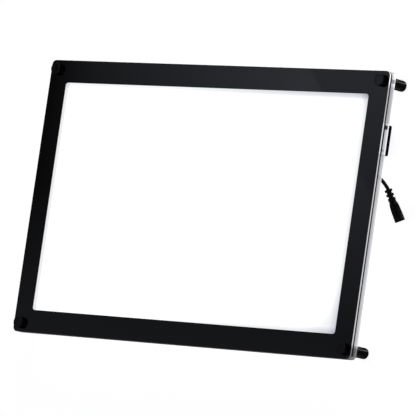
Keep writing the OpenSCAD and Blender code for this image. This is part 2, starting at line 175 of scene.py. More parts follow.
def within(tree, source, centre, half_width, soft):
    """1 where a coordinate is within half_width of centre, falling to 0 over the soft margin."""
    away = math_node(tree, "ABSOLUTE", math_node(tree, "SUBTRACT", source, centre))
    return soft_range(tree, away, half_width - soft, half_width + soft, 1, 0)


def scaled_by(tree, level, mask, factor):
    """level where mask is 0, and level x factor where it is 1."""
    return times(tree, level, value_range(tree, mask, 0, 1, 1, factor))


def mix_colours(tree, share, low, high):
    node = add(tree, "Mix", data_type="RGBA")
    factor, colour_a, colour_b, colour_out = 0, 6, 7, 2
    link(tree, share, node, factor)
    node.inputs[colour_a].default_value = (*low, 1)
    node.inputs[colour_b].default_value = (*high, 1)
    return node, colour_out


def mix_shaders(tree, share, low, high):
    node = add(tree, "MixShader")
    feed(tree, share, node, 0)
    link(tree, low, node, 1)
    link(tree, high, node, 2)
    return node, "Shader"


def add_shaders(tree, first, second):
    node = add(tree, "AddShader")
    link(tree, first, node, 0)
    link(tree, second, node, 1)
    return node, "Shader"


def emission(tree, colour, strength):
    node = add(tree, "Emission", Color=colour)
    feed(tree, strength, node, "Strength")
    return node, "Emission"


def output(tree, shader):
    link(tree, shader, add(tree, "OutputMaterial"), "Surface")


def grey(value):
    return (value, value, value, 1)


def object_axes(tree):
    """Where a point is, in metres of the frame, split into X, Y and Z."""
    place = add(tree, "SeparateXYZ")
    link(tree, (add(tree, "TexCoord"), "Object"), place, "Vector")
    return place


def object_noise(tree, scale, detail=3.0, stretch=(1, 1, 1)):
    """Noise in the frame's metres, so its grain keeps its real size."""
    mapping = add(tree, "Mapping", Scale=stretch)
    link(tree, (add(tree, "TexCoord"), "Object"), mapping, "Vector")
    noise = add(tree, "TexNoise", Scale=scale, Detail=detail)
    link(tree, (mapping, "Vector"), noise, "Vector")
    return noise, "Fac"


def uneven(tree, noise, value, spread):
    """A value that follows the noise by plus or minus the spread, up to 1."""
    return value_range(tree, noise, 0.3, 0.7, value * (1 - spread), min(1, value * (1 + spread)))


def add_relief(tree, shader, height, strength, depth):
    """Relief of a real depth, in mm."""
    node = add(tree, "Bump", Strength=strength, Distance=depth * MM)
    link(tree, height, node, "Height")
    link(tree, (node, "Normal"), shader, "Normal")


# ---------------------------------------------------------------- materials

ROUGH_SPREAD = 0.15


def surface(name, colour, roughness, grain=900.0, bump=0.1, depth=0.02, mottle=0.15,
            metallic=0.0, specular=0.5):
    """Plain opaque finish: mottled colour, uneven roughness and a fine grain of a real depth in mm."""
    material, tree = new_material(name)
    shader = add(tree, "BsdfPrincipled", Metallic=metallic, Specular_IOR_Level=specular)
    broad = object_noise(tree, grain * 0.08, 2.0)
    fine = object_noise(tree, grain, 4.0)
    darker = [c * (1 - mottle) for c in colour]
    lighter = [min(1, c * (1 + mottle)) for c in colour]
    link(tree, mix_colours(tree, broad, darker, lighter), shader, "Base Color")
    link(tree, uneven(tree, fine, roughness, ROUGH_SPREAD), shader, "Roughness")
    add_relief(tree, shader, fine, bump, depth)
    output(tree, (shader, "BSDF"))
    return material


def turned_material(name, colour, roughness, groove, specular=0.5):
    """Turned and blackened metal: hair-fine rings left by the lathe."""
    material, tree = new_material(name)
    shader = add(tree, "BsdfPrincipled", Base_Color=(*colour, 1), Specular_IOR_Level=specular)
    rings = object_noise(tree, 2500, 2.0, stretch=(0.02, 0.02, 1))
    broad = object_noise(tree, 90, 2.0)
    link(tree, uneven(tree, broad, roughness, ROUGH_SPREAD), shader, "Roughness")
    add_relief(tree, shader, rings, groove, 0.01)
    output(tree, (shader, "BSDF"))
    return material


def banded_material(name, base, band, pitch, share, roughness):
    """A board or strip: base colour crossed along X by regular bands, such as solder pads."""
    material, tree = new_material(name)
    shader = add(tree, "BsdfPrincipled", Roughness=roughness)
    turns = math_node(tree, "DIVIDE", (object_axes(tree), "X"), pitch)
    on_band = math_node(tree, "LESS_THAN", math_node(tree, "FRACT", turns), share)
    link(tree, mix_colours(tree, on_band, base, band), shader, "Base Color")
    add_relief(tree, shader, object_noise(tree, 1200), 0.15, 0.02)
    output(tree, (shader, "BSDF"))
    return material


def led_material():
    """LED row: white bodies with a warm lit face."""
    material, tree = new_material("led_body")
    shader = add(tree, "BsdfPrincipled", Roughness=0.4, Emission_Strength=0.8)
    tint = mix_colours(tree, object_noise(tree, 800), (1.0, 0.86, 0.5), (1.0, 0.95, 0.75))
    link(tree, tint, shader, "Base Color")
    link(tree, tint, shader, "Emission Color")
    output(tree, (shader, "BSDF"))
    return material


def guide_material():
    """Light guide: faintly blue clear acrylic with a printed grid of dots on its back."""
    material, tree = new_material("light_guide")
    dots = add(tree, "TexVoronoi", Scale=600, Randomness=0.0)
    link(tree, (add(tree, "TexCoord"), "Object"), dots, "Vector")
    printed = value_range(tree, (dots, "Distance"), 0.25, 0.32, 1, 0)
    clear = add(tree, "BsdfTransparent", Color=(0.97, 0.985, 1.0, 1))
    ink = add(tree, "BsdfDiffuse", Color=grey(0.95))
    output(tree, mix_shaders(tree, printed, (clear, "BSDF"), (ink, "BSDF")))
    return material


def across_edge(tree, depth, levels):
    """Painted brightness across the thickness of a sheet, through the stops in levels."""
    ramp = add(tree, "ValToRGB")
    while len(ramp.color_ramp.elements) < len(levels):
        ramp.color_ramp.elements.new(0.5)
    for element, (position, brightness) in zip(ramp.color_ramp.elements, levels):
        element.position = position
        element.color = grey(brightness)
    link(tree, depth, ramp, "Fac")
    return ramp, "Color"


def painted_edge_level(tree, place, normal, low, high, levels, painted_marks):
    """Painted light of a polished edge: fine streaks along it, uneven from end to end."""
    along_y = (place, "Y")
    depth = value_range(tree, (place, "Z"), high.z, low.z, 0, 1)
    streaks = object_noise(tree, 30, 3.0, stretch=(1, 1, 50))
    level = across_edge(tree, depth, levels)
    level = times(tree, level, value_range(tree, streaks, 0.3, 0.7, 0.84, 1.14))

    # painted light and shade: the upper half is dimmer, the top corners are bright, the bottom corners dark with
    # streaks, and the top and bottom edges dimmer than the side edges
    upper = soft_range(tree, along_y, CENTRE.y + 45 * MM, CENTRE.y + 65 * MM)
    top_end = soft_range(tree, along_y, high.y - 18 * MM, high.y - 10 * MM)
    bottom_end = soft_range(tree, along_y, low.y + 14.5 * MM, low.y + 10 * MM)
    end_streaks = times(tree, value_range(tree, streaks, 0.47, 0.55, 0, 1), bottom_end)
    sideways = math_node(tree, "ABSOLUTE", (normal, "X"))
    turned_away = value_range(tree, sideways, 0.2, 0.9, 1, 0)
    painted_light_zones = ((upper, 0.8), (top_end, 2.1), (bottom_end, 0.42), (end_streaks, 0.35), (turned_away, 0.8))
    for zone, factor in painted_light_zones:
        level = scaled_by(tree, level, zone, factor)

    # painted shade and light where things would be seen through the edge
    for middle, half_width, share, factor in painted_marks:
        along = within(tree, along_y, middle, half_width, 0.6 * MM)
        across = soft_range(tree, depth, share - 0.08, share + 0.08, 1, 0)
        level = scaled_by(tree, level, times(tree, along, across), factor)
    return level


def acrylic_material(name, low, high, levels, painted_marks):
    """Clear sheet: see-through faces, and polished edges that glow with painted light for the box's own light they
    carry.
    """
    material, tree = new_material(name)
    shape = add(tree, "NewGeometry")
    place = object_axes(tree)
    normal = add(tree, "SeparateXYZ")
    link(tree, (shape, "True Normal"), normal, "Vector")

    # faces and edges reflect on the outside only
    outside = math_node(tree, "SUBTRACT", 1.0, (shape, "Backfacing"))
    mirrored = times(tree, (add(tree, "Fresnel", IOR=1.49), "Fac"), outside)
    clear = (add(tree, "BsdfTransparent", Color=(0.985, 0.992, 0.99, 1)), "BSDF")
    face_shine = (add(tree, "BsdfGlossy", Roughness=0.04, Color=grey(1)), "BSDF")
    edge_shine = (add(tree, "BsdfGlossy", Roughness=0.08, Color=grey(1)), "BSDF")
    level = painted_edge_level(tree, place, normal, low, high, levels, painted_marks)
    # painted edge light, emitted by the clear sheet
    glow = emission(tree, (0.955, 0.95, 1.0, 1), level)
    see_through = 0.08
    face = mix_shaders(tree, mirrored, clear, face_shine)
    edge = mix_shaders(tree, see_through, mix_shaders(tree, mirrored, glow, edge_shine), clear)

    # a face is flat, and lies inside the sheet's bevelled outline
    upright = math_node(tree, "ABSOLUTE", (normal, "Z"))
    flat = value_range(tree, upright, 0.95, 0.99, 0, 1)
    bevel, soft = 0.5 * MM, 0.05 * MM
    inside_x = within(tree, (place, "X"), CENTRE.x, high.x - CENTRE.x - bevel, soft)
    inside_y = within(tree, (place, "Y"), CENTRE.y, high.y - CENTRE.y - bevel, soft)
    output(tree, mix_shaders(tree, times(tree, flat, inside_x, inside_y), edge, face))
    return material


def diffuser_material(low, high):
    """Lit opal sheet behind the window low..high: even light that falls off by its edges, and painted shade of the
    recess under the border by its left and top edges.
    """
    material, tree = new_material("lit_opal")
    place = object_axes(tree)
    to_right = value_range(tree, (place, "X"), CENTRE.x - 50 * MM, high.x, 0.35, 1)
    falloff_and_shade = []
    # the light's own falloff by each edge; by the left and top edges this also paints the shade of the recess
    # under the border
    for axis, edge, reach, amount, grows_to_right in (
        ("X", high.x, -14 * MM, 0.27, False),
        ("Y", high.y, -7 * MM, 0.42, True),
        ("Y", low.y, 8 * MM, 0.26, True),
        ("X", low.x, 3 * MM, 0.2, False),
    ):
        drop = soft_range(tree, (place, axis), edge + reach, edge, 0, amount)
        falloff_and_shade.append(times(tree, drop, to_right) if grows_to_right else drop)

    # the two right-hand corners are dimmer still
    for y, radius, amount in ((high.y, 24 * MM, 0.1), (low.y, 55 * MM, 0.2)):
        corner = add(tree, "VectorMath", operation="DISTANCE")
        corner.inputs[1].default_value = (high.x, y, high.z)
        link(tree, (add(tree, "TexCoord"), "Object"), corner, 0)
        falloff_and_shade.append(soft_range(tree, (corner, "Value"), 0, radius, amount, 0))
    drop = plus(tree, *falloff_and_shade)

    # the middle is brighter than white, so that it stays white behind a reflecting sheet
    white, brightest, extra = 1.0, 1.14, 0.3
    falling = math_node(tree, "SUBTRACT", brightest, drop)
    level = plus(tree, falling, value_range(tree, falling, white, brightest, 0, extra))
    # a painted lavender tint of shade where the light falls off
    dimmed_and_shaded = value_range(tree, drop, 0.1, 0.45, 0, 1)
    glow = add(tree, "Emission")
    link(tree, mix_colours(tree, dimmed_and_shaded, (1, 1, 1), (0.9, 0.885, 1.0)), glow, "Color")
    link(tree, level, glow, "Strength")
    output(tree, (glow, "Emission"))
    return material


CLEAR_SHEETS = {
    "front_panel": acrylic_material("front_acrylic", front_low, front_high, FRONT_EDGE_PAINTED_LIGHT, (HOUSING_PAINTED_GLOW,)),
    "rear_panel": acrylic_material(
        "rear_acrylic", rear_low, rear_high, REAR_EDGE_PAINTED_LIGHT,
        (HOUSING_PAINTED_GLOW, HOUSING_PAINTED_SHADE_LINE, UPPER_SCREW_PAINTED_SHADE, LOWER_SCREW_PAINTED_SHADE, RIGHT_STUD_PAINTED_SHADE),
    ),
}

# The finish of each material slot; wire_black is the second colour of the wires' slot.
MATERIALS = {
    "opal_diffuser": diffuser_material(WINDOW_LOW, WINDOW_HIGH),
    "light_guide": guide_material(),
    "led_body": led_material(),
    "strip_board": banded_material(
        "strip_board", (0.85, 0.85, 0.82), (0.75, 0.45, 0.25), 16.67 * MM, 0.1, 0.4,
    ),
    "circuit_board": banded_material(
        "circuit_board", (0.012, 0.12, 0.045), (0.03, 0.2, 0.08), 1.9 * MM, 0.3, 0.35,
    ),
    "foot_black": turned_material("foot_anodised", (0.002, 0.002, 0.0024), 0.07, 0.1),
    "cap_black": turned_material("cap_anodised", (0.003, 0.003, 0.0033), 0.13, 0.2, specular=0.36),

    # panel
    "mask_black": surface("border_film", (0.0018, 0.0018, 0.0021), 0.035,
                          grain=140, bump=0.02, depth=0.002, mottle=0.06),
    "gasket_foam": surface("gasket_foam", (0.012, 0.012, 0.014), 0.8, grain=2600, bump=0.5, depth=0.08),
    "reflector_white": surface("reflector_film", (0.86, 0.87, 0.88), 0.55, grain=1800, mottle=0.02),
    "foam_tape": surface("foam_tape", (0.62, 0.6, 0.52), 0.8, grain=2200, bump=0.4, depth=0.05),

    # moulded pieces and rubber
    "black_rubber": surface("black_rubber", (0.006, 0.006, 0.0065), 0.6, grain=1600, bump=0.3, depth=0.04),
    "housing_black": surface("spark_texture", (0.003, 0.003, 0.0035), 0.42,
                             grain=2400, bump=0.35, depth=0.03, specular=0.2),
    "switch_black": surface("switch_nylon", (0.01, 0.01, 0.011), 0.45, grain=2000, bump=0.15),
    "knob_black": surface("knob_satin", (0.022, 0.022, 0.024), 0.38, grain=2000, bump=0.15),
    "washer_nylon": surface("washer_nylon", (0.009, 0.009, 0.010), 0.45, grain=1800, bump=0.15),
    "cable_sheath": surface("cable_sheath", (0.003, 0.003, 0.0033), 0.36,
                            grain=700, bump=0.12, depth=0.03, specular=0.2),
    "jack_black": surface("jack_vinyl", (0.002, 0.002, 0.0023), 0.2, grain=1500, bump=0.15, specular=0.3),
    "jack_insert_black": surface("jack_insert", (0.012, 0.012, 0.013), 0.25, grain=1500, bump=0.05),
    "wire_sleeve": surface("wire_sleeve", (0.35, 0.02, 0.02), 0.35, bump=0.05),
    "wire_black": surface("wire_black", (0.02, 0.02, 0.022), 0.35, bump=0.05),

    # metal and electronics
    "screw_steel": surface("zinc_screw", (0.55, 0.56, 0.58), 0.3, grain=700, metallic=1.0),
    "screw_black": surface("black_oxide_screw", (0.03, 0.03, 0.033), 0.35, grain=700, metallic=0.8),
    "stud_steel": surface("stud_zinc", (0.055, 0.056, 0.06), 0.35, grain=500, metallic=0.9),
    "insert_brass": surface("insert_brass", (0.7, 0.5, 0.2), 0.3, metallic=1.0),
    "contact_brass": surface("contact_spring", (0.72, 0.52, 0.22), 0.25, bump=0.08, metallic=1.0),
    "pin_chrome": surface("pin_nickel", (0.75, 0.74, 0.72), 0.15, bump=0.05, metallic=1.0),
    "can_aluminium": surface("capacitor_can", (0.7, 0.7, 0.72), 0.25, grain=600, bump=0.05, metallic=1.0),
    "ferrite": surface("ferrite", (0.035, 0.035, 0.038), 0.6, grain=2500, bump=0.3),
    "chip_resin": surface("chip_resin", (0.012, 0.012, 0.013), 0.5, grain=3000, bump=0.2),
}


# ---------------------------------------------------------------- mesh helpers

UP = Vector((0, 0, 1))
SHARP_ANGLE = 35
TURNED_SEGMENTS = 96
FULL_TURN = 2 * math.pi


def mesh_object(name, vertices, faces, smooth=True):
    mesh = bpy.data.meshes.new(name)
    mesh.from_pydata([tuple(v) for v in vertices], [], faces)
    mesh.validate()
    for polygon in mesh.polygons:
        polygon.use_smooth = smooth
    piece = bpy.data.objects.new(name, mesh)
    bpy.context.scene.collection.objects.link(piece)
    return piece


def sharpen(piece, angle=SHARP_ANGLE):
    """Keep flat faces flat beside smooth ones."""
    piece.data.set_sharp_from_angle(angle=math.radians(angle))


def soften(piece, width_mm):
    """Round a CAD node's sharp edges by a small bevel."""
    weld = piece.modifiers.new("weld", "WELD")
    weld.merge_threshold = 0.001 * MM
    bevel = piece.modifiers.new("edge", "BEVEL")
    bevel.width = width_mm * MM
    bevel.segments = 2
    bevel.limit_method = "ANGLE"
    bevel.angle_limit = math.radians(SHARP_ANGLE)
    bevel.harden_normals = True


def paint(piece, slot, material=None):
    """Slot of a new piece, shown in the slot's own material unless another is named."""
    piece.data.materials.append(MATERIALS[material or slot])


def settle(piece, slot, body, *replaced, material=None):
    """Finish, body and the CAD nodes that a new piece stands for."""
    paint(piece, slot, material)
    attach(piece, body)
    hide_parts(*replaced)


def filleted(corners, steps=6):
    """Outline in metres through corners (r, z, fillet) in mm, each turned into an arc of that radius."""
    path = []
    for i, (r, z, fillet) in enumerate(corners):
        here = Vector((r, z))
        if fillet == 0 or i in (0, len(corners) - 1):
            path.append(here)
            continue
        back = (Vector(corners[i - 1][:2]) - here).normalized()
        ahead = (Vector(corners[i + 1][:2]) - here).normalized()
        half = back.angle(ahead) / 2
        reach = fillet / math.tan(half)
        centre = here + (back + ahead).normalized() * (fillet / math.sin(half))
        start = here + back * reach - centre
        sweep = (here + ahead * reach - centre).angle_signed(start)
        path += [centre + Matrix.Rotation(sweep * k / steps, 2) @ start for k in range(steps + 1)]
    return [point * MM for point in path]


def lathe_mesh(outline, segments, place, wave=None):
    """Closed solid turned from an outline (r, z) that starts and ends on the axis.

    wave(point, angle) is how far the surface lies inside the outline's point there.
    """
    rings = outline[1:-1]
    vertices = [place @ Vector((0, 0, outline[0].y))]
    for point in rings:
        for k in range(segments):
            angle = FULL_TURN * k / segments
            radius = point.x - (wave(point, angle) if wave else 0)
            vertices.append(place @ Vector((radius * math.cos(angle), radius * math.sin(angle), point.y)))
    vertices.append(place @ Vector((0, 0, outline[-1].y)))

    faces = []
    last = len(vertices) - 1
    last_row = 1 + (len(rings) - 1) * segments
    for k in range(segments):
        after = (k + 1) % segments
        faces.append((0, 1 + after, 1 + k))
        for row in range(1, last_row, segments):
            faces.append((row + k, row + after, row + segments + after, row + segments + k))
        faces.append((last_row + k, last_row + after, last))
    return vertices, faces


def turned(name, corners, centre, slot, body, replaced):
    """Lathe piece with a vertical axis; corners are (r, z, fillet) in mm from its foot."""
    vertices, faces = lathe_mesh(filleted(corners), TURNED_SEGMENTS, Matrix.Translation(centre))
    piece = mesh_object(name, vertices, faces)
    sharpen(piece)
    settle(piece, slot, body, replaced)


def tube(name, path, radius, sides):
    """Closed round tube along a path of points."""
    vertices, faces = [], []
    last = len(path) - 1
    for i, point in enumerate(path):
        along = (path[min(i + 1, last)] - path[max(i - 1, 0)]).normalized()
        if i == 0:
            side = along.orthogonal().normalized()
        else:
            side = (side - along * side.dot(along)).normalized()
        up = along.cross(side)
        for k in range(sides):
            angle = FULL_TURN * k / sides
            vertices.append(point + radius * (math.cos(angle) * side + math.sin(angle) * up))
    for i in range(last):
        for k in range(sides):
            a, b = i * sides + k, i * sides + (k + 1) % sides
            faces.append((a, b, b + sides, a + sides))
    faces.append(tuple(reversed(range(sides))))
    faces.append(tuple(last * sides + k for k in range(sides)))
    piece = mesh_object(name, vertices, faces)
    sharpen(piece, 60)
    return piece


def bezier(p0, p1, p2, p3, t):
    return p0 * (1 - t) ** 3 + p1 * 3 * (1 - t) ** 2 * t + p2 * 3 * (1 - t) * t * t + p3 * t ** 3


def rounded_run(points, steps=6):
    """Straight stretches joined by arcs: every second pair of points is the two ends of a bend."""
    points = [Vector(p) for p in points]
    path = [points[0]]
    pull = 0.55
    for i in range(1, len(points) - 1, 2):
        a, b = points[i], points[i + 1]
        into = (a - points[i - 1]).normalized()
        corner = a + into * (b - a).dot(into)
        a_handle, b_handle = a.lerp(corner, pull), b.lerp(corner, pull)
        path += [bezier(a, a_handle, b_handle, b, k / steps) for k in range(steps + 1)]
    path.append(points[-1])
    return path


# ---------------------------------------------------------------- CAD nodes

# Width in mm of the rounded edges of the nodes that are shown as they are.
BEVELS = {
    "front_panel": 0.2, "rear_panel": 0.2, "gasket_frame": 0.05, "diffuser_sheet": 0.15,
    "light_guide_plate": 0.2, "reflector_sheet": 0.1, "housing_base": 0.2, "control_housing": 0.35,
    "switch_body": 0.2, "switch_knob": 0.15, "control_board": 0.1, "driver_chip": 0.05,
    "power_inductor": 0.3, "base_screws": 0.1, "housing_screws": 0.1, "jack_insert": 0.12,
    "jack_pin": 0.1, "foot_inserts": 0.15,
    "washer_tl": 0.15, "washer_tr": 0.15, "washer_bl": 0.15, "washer_br": 0.15,
}


def dress_cad():
    for name, piece in NODES.items():
        piece.data.materials.clear()
        piece.data.materials.append(CLEAR_SHEETS.get(name) or MATERIALS[SLOTS[name]])
        if name in BEVELS:
            soften(piece, BEVELS[name])


# ---------------------------------------------------------------- corner hardware
# In mm. Heights, and the radius of caps and studs, come from the CAD nodes.

PLAY = 0.02                     # between a bore and the piece in it
FOOT_R = 5.5
INSERT_R = 3.5
PAD_R = 5.4
SPIGOT_R = 2.0
THREAD_PITCH = 0.8
THREAD_DEPTH = 0.4


def on_axis(node, z):
    """The point at height z on the vertical axis of a round CAD node."""
    low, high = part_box(node)
    return Vector(((low.x + high.x) / 2, (low.y + high.y) / 2, z))


def make_caps():
    """Screw caps: a chamfered foot, a narrow rim round a shallow dish, and a bore for the stud."""
    chamfer, rim, dish_slope, dish_depth = 0.3, 1.3, 0.25, 0.2
    for corner in CORNERS:
        low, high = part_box("thumb_cap_" + corner)
        stud_low, stud_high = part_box("stud_" + corner)
        r = (high.x - low.x) / 2 / MM
        top = (high.z - low.z) / MM
        bore_r = (stud_high.x - stud_low.x) / 2 / MM + PLAY
        bore = (stud_high.z - low.z) / MM
        outline = (
            (0, bore, 0), (bore_r, bore, 0), (bore_r, 0, 0), (r - chamfer, 0, 0.1), (r, chamfer, 0.15),
            (r, top, 0.5), (r - rim, top, 0.15), (r - rim - dish_slope, top - dish_depth, 0.1),
            (0, top - dish_depth, 0),
        )
        place = on_axis("thumb_cap_" + corner, low.z)
        turned("cap_turned_" + corner, outline, place, "cap_black", "cap_" + corner, "thumb_cap_" + corner)


def make_feet():
    """Standoff feet, bored below for the spigots of their pads and above for the brass inserts."""
    low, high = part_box("standoff_feet")
    top = (high.z - low.z) / MM
    insert_floor = (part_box("foot_inserts")[0].z - low.z) / MM
    socket_r = SPIGOT_R + PLAY
    socket = (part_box("foot_pads")[1].z - low.z) / MM + 0.2
    bore_r = INSERT_R + PLAY
    outline = (
        (0, socket, 0), (socket_r, socket, 0), (socket_r, 0, 0.1), (FOOT_R, 0, 0.2), (FOOT_R, top, 0.2),
        (bore_r, top, 0.1), (bore_r, insert_floor, 0), (0, insert_floor, 0),
    )
    for corner in CORNERS:
        place = on_axis("thumb_cap_" + corner, low.z)
        turned("foot_turned_" + corner, outline, place, "foot_black", "base", "standoff_feet")


def make_pads():
    """Rubber pads: a rounded rim round a shallow dish below, and a spigot above."""
    low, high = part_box("foot_pads")
    thickness = (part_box("standoff_feet")[0].z - low.z) / MM
    top = (high.z - low.z) / MM
    rim, dish_slope, dish_depth = 1.6, 0.3, 0.15
    outline = (
        (0, dish_depth, 0), (PAD_R - rim - dish_slope, dish_depth, 0.1), (PAD_R - rim, 0, 0.1),
        (PAD_R, 0, 0.5), (PAD_R, thickness, 0.15), (SPIGOT_R, thickness, 0),
        (SPIGOT_R, top, 0.2), (0, top, 0),
    )
    for corner in CORNERS:
        place = on_axis("thumb_cap_" + corner, low.z)
        turned("pad_moulded_" + corner, outline, place, "black_rubber", "base", "foot_pads")


def thread(point, angle):
    """Depth below the crest of a V thread that climbs one pitch a turn."""
    share = (point.y / MM / THREAD_PITCH - angle / FULL_TURN) % 1
    return THREAD_DEPTH * MM * abs(2 * share - 1)


def make_studs():
    """Threaded studs, seen through the clear sheets and under a lifted cap."""
    rows_per_turn, segments = 4, 32
    for corner in CORNERS:
        low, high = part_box("stud_" + corner)
        radius = (high.x - low.x) / 2
        length = high.z - low.z
        rows = round(length / MM / THREAD_PITCH * rows_per_turn)
        outline = [Vector((radius, length * k / rows)) for k in range(rows + 1)]
        outline = [Vector((0, 0)), *outline, Vector((0, length))]
        place = Matrix.Translation(on_axis("stud_" + corner, low.z))
        vertices, faces = lathe_mesh(outline, segments, place, thread)
        piece = mesh_object("stud_threaded_" + corner, vertices, faces)
        sharpen(piece)
        settle(piece, "stud_steel", "cap_" + corner, "stud_" + corner)


# ---------------------------------------------------------------- cable
# Lengths in mm, and points in the frame's metres.

PIN_MID = 5.75                  # from the jack's mouth back to the middle of its pin
JACK_LENGTH = 32.8
JACK_AXIS = Vector(MOUNTS["dc_socket_pin"]["axis"]).normalized()
JACK_MOUTH = Vector(MOUNTS["dc_socket_pin"]["pos_m"]) + JACK_AXIS * PIN_MID * MM
JACK_TAIL = JACK_MOUTH - JACK_AXIS * JACK_LENGTH * MM
CABLE_R = 1.8
CABLE_PIVOT = Vector(JOINTS["lead_swing"]["pos_m"])


def make_cable():
    """One smooth cable from inside the housing's bushing to inside the jack."""
    start = Vector((CABLE_PIVOT.x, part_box("cable_bushing")[1].y, CABLE_PIVOT.z))
    straight_steps, curve_steps = 5, 40
    in_bushing = [start.lerp(CABLE_PIVOT, k / straight_steps) for k in range(straight_steps)]
    before_jack = JACK_TAIL - JACK_AXIS * 1.2 * MM
    leave = CABLE_PIVOT + Vector((6, -10, 0)) * MM
    arrive = before_jack + Vector((-15.2, 18.3, 3.3)) * MM
    shares = [k / curve_steps for k in range(curve_steps + 1)]
    curve = [bezier(CABLE_PIVOT, leave, arrive, before_jack, share) for share in shares]
    in_jack = [JACK_TAIL + JACK_AXIS * depth * MM for depth in (2, 4, 6)]
    cable = tube("cable_sheathed", in_bushing + curve + in_jack, CABLE_R * MM, sides=32)
    paint(cable, "cable_sheath")
    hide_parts("power_cable")
    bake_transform(cable)


def make_bushing():
    """Ribbed rubber nose that keeps the cable from kinking at the housing."""
    low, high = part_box("cable_bushing")
    nose, nose_r = 5.0, 2.4
    flange_r, flange_t = 2.9, 1.3
    neck_r, collar_r = 2.35, 3.5
    inner = nose - (high.y - low.y) / MM
    corners = [
        (0, inner, 0), (flange_r, inner, 0.1), (flange_r, inner + flange_t, 0.1),
        (neck_r, inner + flange_t, 0.1), (neck_r, 0, 0.1), (collar_r, 0, 0.3),
    ]
    first_rib, rib_pitch, rib_r, rib_taper = 0.4, 1.5, 3.45, 0.32
    for i in range(3):
        z = first_rib + i * rib_pitch
        r = rib_r - i * rib_taper
        corners += [
            (r, z + 0.7, 0.2), (r - 0.7, z + 0.75, 0.1),
            (r - 0.75, z + 1.1, 0.1), (r - 0.35, z + 1.15, 0.1),
        ]
    corners += [(nose_r, nose, 0.3), (0, nose, 0)]
    wall = Matrix.Translation((CABLE_PIVOT.x, low.y + nose * MM, CABLE_PIVOT.z))
    outward = Matrix.Rotation(math.pi / 2, 4, "X")
    vertices, faces = lathe_mesh(filleted(corners, steps=4), 64, wall @ outward)
    piece = mesh_object("bushing_moulded", vertices, faces)
    sharpen(piece)
    settle(piece, "black_rubber", "base", "cable_bushing", "cable_tail")


# ---------------------------------------------------------------- jack
# In mm, with s along the jack from the end where the cable enters.

JACK_FRAME = Matrix.Translation(JACK_TAIL) @ UP.rotation_difference(JACK_AXIS).to_matrix().to_4x4()
RING_COUNT = 3
RING_PITCH = 4.35
RING_T = 2.6
RING_R = 3.85
NECK_R = 2.5
RELIEF_END = (RING_COUNT - 1) * RING_PITCH + RING_T
MOUTH_R = 5.03
SOCKET_R = 4.05
SOCKET_FLOOR = JACK_LENGTH - 13
# (s, radius) where the body changes its taper
TAPER = (
    (RELIEF_END + 2, 3.7), (RELIEF_END + 5.5, 4.5), (RELIEF_END + 10.5, 4.86), (RELIEF_END + 16, MOUTH_R),
)
GRIP_START = RELIEF_END + 2.4
GRIP_END = JACK_LENGTH - 2.4
RIB_COUNT = 22
RIB_DEPTH = 0.38
RIB_FADE = 2
FIN_TURN = math.radians(65)     # the webs of the strain relief face up and down


def relief_outline():
    """Rings of the strain relief with narrow necks between them."""
    corners = []
    for i in range(RING_COUNT):
        s = i * RING_PITCH
        corners += [(RING_R, s, 0.5), (RING_R, s + RING_T, 0.5)]
        if i < RING_COUNT - 1:
            corners += [(NECK_R, s + RING_T, 0.3), (NECK_R, s + RING_PITCH, 0.3)]
    return corners


def taper_radius(s):
    """Radius of the body at s: each stretch of TAPER eases out, and the last is straight."""
    for (s0, r0), (s1, r1) in zip(TAPER, TAPER[1:]):
        if s < s1:
            break
    share = (s - s0) / (s1 - s0)
    if s1 < TAPER[-1][0]:
        share = math.sin(share * math.pi / 2)
    return r0 + (r1 - r0) * share


def body_outline():
    """Shoulder, swelling grip, rounded mouth and the bore round the socket."""
    corners = [(3.35, RELIEF_END + 0.2, 0.2), (3.5, RELIEF_END + 1.2, 0.3)]
    rows = 26
    for k in range(rows + 1):
        s = TAPER[0][0] + (TAPER[-1][0] - TAPER[0][0]) * k / rows
        corners.append((taper_radius(s), s, 0))
    corners += [
        (MOUTH_R, GRIP_END, 0), (MOUTH_R, JACK_LENGTH, 0.6), (SOCKET_R, JACK_LENGTH, 0.12),
        (SOCKET_R, SOCKET_FLOOR, 0.1), (0, SOCKET_FLOOR, 0),
    ]
    return corners


def grip_ribs(point, angle):
    """Depth of the grooves between grip ribs, fading out at both ends of the grip."""
    s = point.y / MM
    fade = min(s - GRIP_START, GRIP_END - s) / RIB_FADE
    in_socket = point.x / MM < SOCKET_R + 0.1 and s > SOCKET_FLOOR - 0.1
    if in_socket or fade <= 0:
        return 0
    return RIB_DEPTH * MM * min(1, fade) * (0.5 - 0.5 * math.cos(RIB_COUNT * angle)) ** 2


def add_fin(vertices, faces, gap, angle):
    """Web across a gap between two strain relief rings, sunk into both: a box with its outer edges cut."""
    place = JACK_FRAME @ Matrix.Rotation(angle, 4, "Z")
    sunk, half, cut = 0.3, 1.3, 0.3
    low_r, high_r = NECK_R - sunk, RING_R - 0.5
    section = (
        (low_r, -half), (high_r - cut, -half), (high_r, -half + 0.4),
        (high_r, half - 0.4), (high_r - cut, half), (low_r, half),
    )
    first = len(vertices)
    count = len(section)
    gap_start = gap * RING_PITCH + RING_T
    for s in (gap_start - sunk, (gap + 1) * RING_PITCH + sunk):
        vertices.extend(place @ (Vector((x, y, s)) * MM) for x, y in section)
    faces.append(tuple(first + k for k in reversed(range(count))))
    faces.append(tuple(first + count + k for k in range(count)))
    for k in range(count):
        after = (k + 1) % count
        faces.append((first + k, first + after, first + count + after, first + count + k))


def make_jack():
    """Overmoulded jack: ringed strain relief with webs, ribbed grip and a mouth round the socket."""
    outline = filleted([(0, 0, 0), *relief_outline(), *body_outline()], steps=5)
    vertices, faces = lathe_mesh(outline, RIB_COUNT * 8, JACK_FRAME, grip_ribs)
    for gap in range(RING_COUNT - 1):
        for turn in (0, math.pi):
            add_fin(vertices, faces, gap, FIN_TURN + turn)
    piece = mesh_object("jack_moulded", vertices, faces)
    sharpen(piece, 40)
    settle(piece, "jack_black", "lead", "jack_overmould")


# ---------------------------------------------------------------- feed wires

